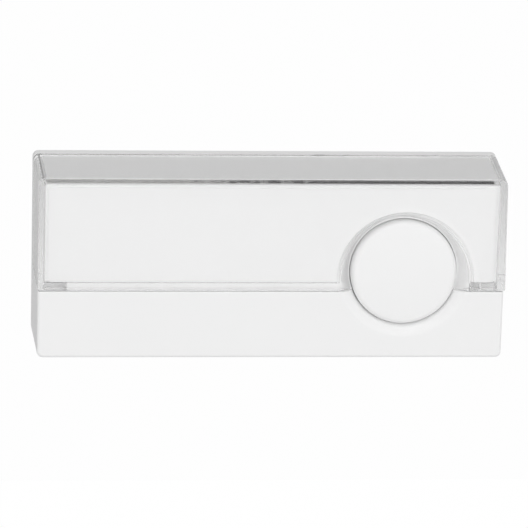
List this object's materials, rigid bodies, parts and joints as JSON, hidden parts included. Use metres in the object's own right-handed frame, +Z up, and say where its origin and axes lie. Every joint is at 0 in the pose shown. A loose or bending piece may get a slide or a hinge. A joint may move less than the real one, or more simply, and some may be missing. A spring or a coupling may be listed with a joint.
{
  "type": "doorbell push button",
  "caption": "Flat wall-mounted bell push: round button in a dish, clear clip-on cover over a blank name card, white housing on a screw-fixed base plate.",
  "frame": {"origin": "middle of the base plate's back face, on the wall", "axes": "+X to the right along the bell push, seen from the front; +Y into the wall; +Z up"},
  "size_m": [0.081, 0.0185, 0.0324],
  "materials": {
    "white_housing": "satin moulded white plastic",
    "clear_cover": "clear polished plastic",
    "card": "plain white card",
    "white_button": "satin moulded white plastic",
    "natural_plastic": "natural moulded plastic",
    "brass": "rolled brass strip",
    "spring_steel": "bright spring steel",
    "contact_silver": "silver contact rivet",
    "screw_steel": "zinc plated steel",
    "grommet_rubber": "soft black rubber",
    "seal_rubber": "soft dusted rubber"
  },
  "bodies": {
    "base": {"base_plate": "white_housing", "housing": "white_housing", "name_card": "card", "return_spring": "spring_steel", "contact_strip_upper": "brass", "contact_strip_lower": "brass", "contact_tip_upper": "contact_silver", "contact_tip_lower": "contact_silver", "terminal_screw_upper": "screw_steel", "terminal_screw_lower": "screw_steel", "wire_clamp_upper": "screw_steel", "wire_clamp_lower": "screw_steel", "strip_rivets": "brass", "cable_grommet": "grommet_rubber", "rain_seal": "seal_rubber"},
    "cover": {"name_cover": "clear_cover"},
    "button": {"button_cap": "white_button", "plunger": "natural_plastic", "contact_bridge": "brass", "bridge_clip": "spring_steel", "bridge_tip_upper": "contact_silver", "bridge_tip_lower": "contact_silver"}
  },
  "joints": [
    {"name": "button_press", "type": "slide", "parent": "base", "child": "button", "axis": [0, 1, 0], "range_m": [0, 0.0016], "stiffness_N_per_m": 800, "springref_m": -0.0015, "deforming": ["return_spring"]},
    {"name": "cover_pull", "type": "slide", "parent": "base", "child": "cover", "axis": [0, -1, 0], "range_m": [0, 0.02]}
  ]
}
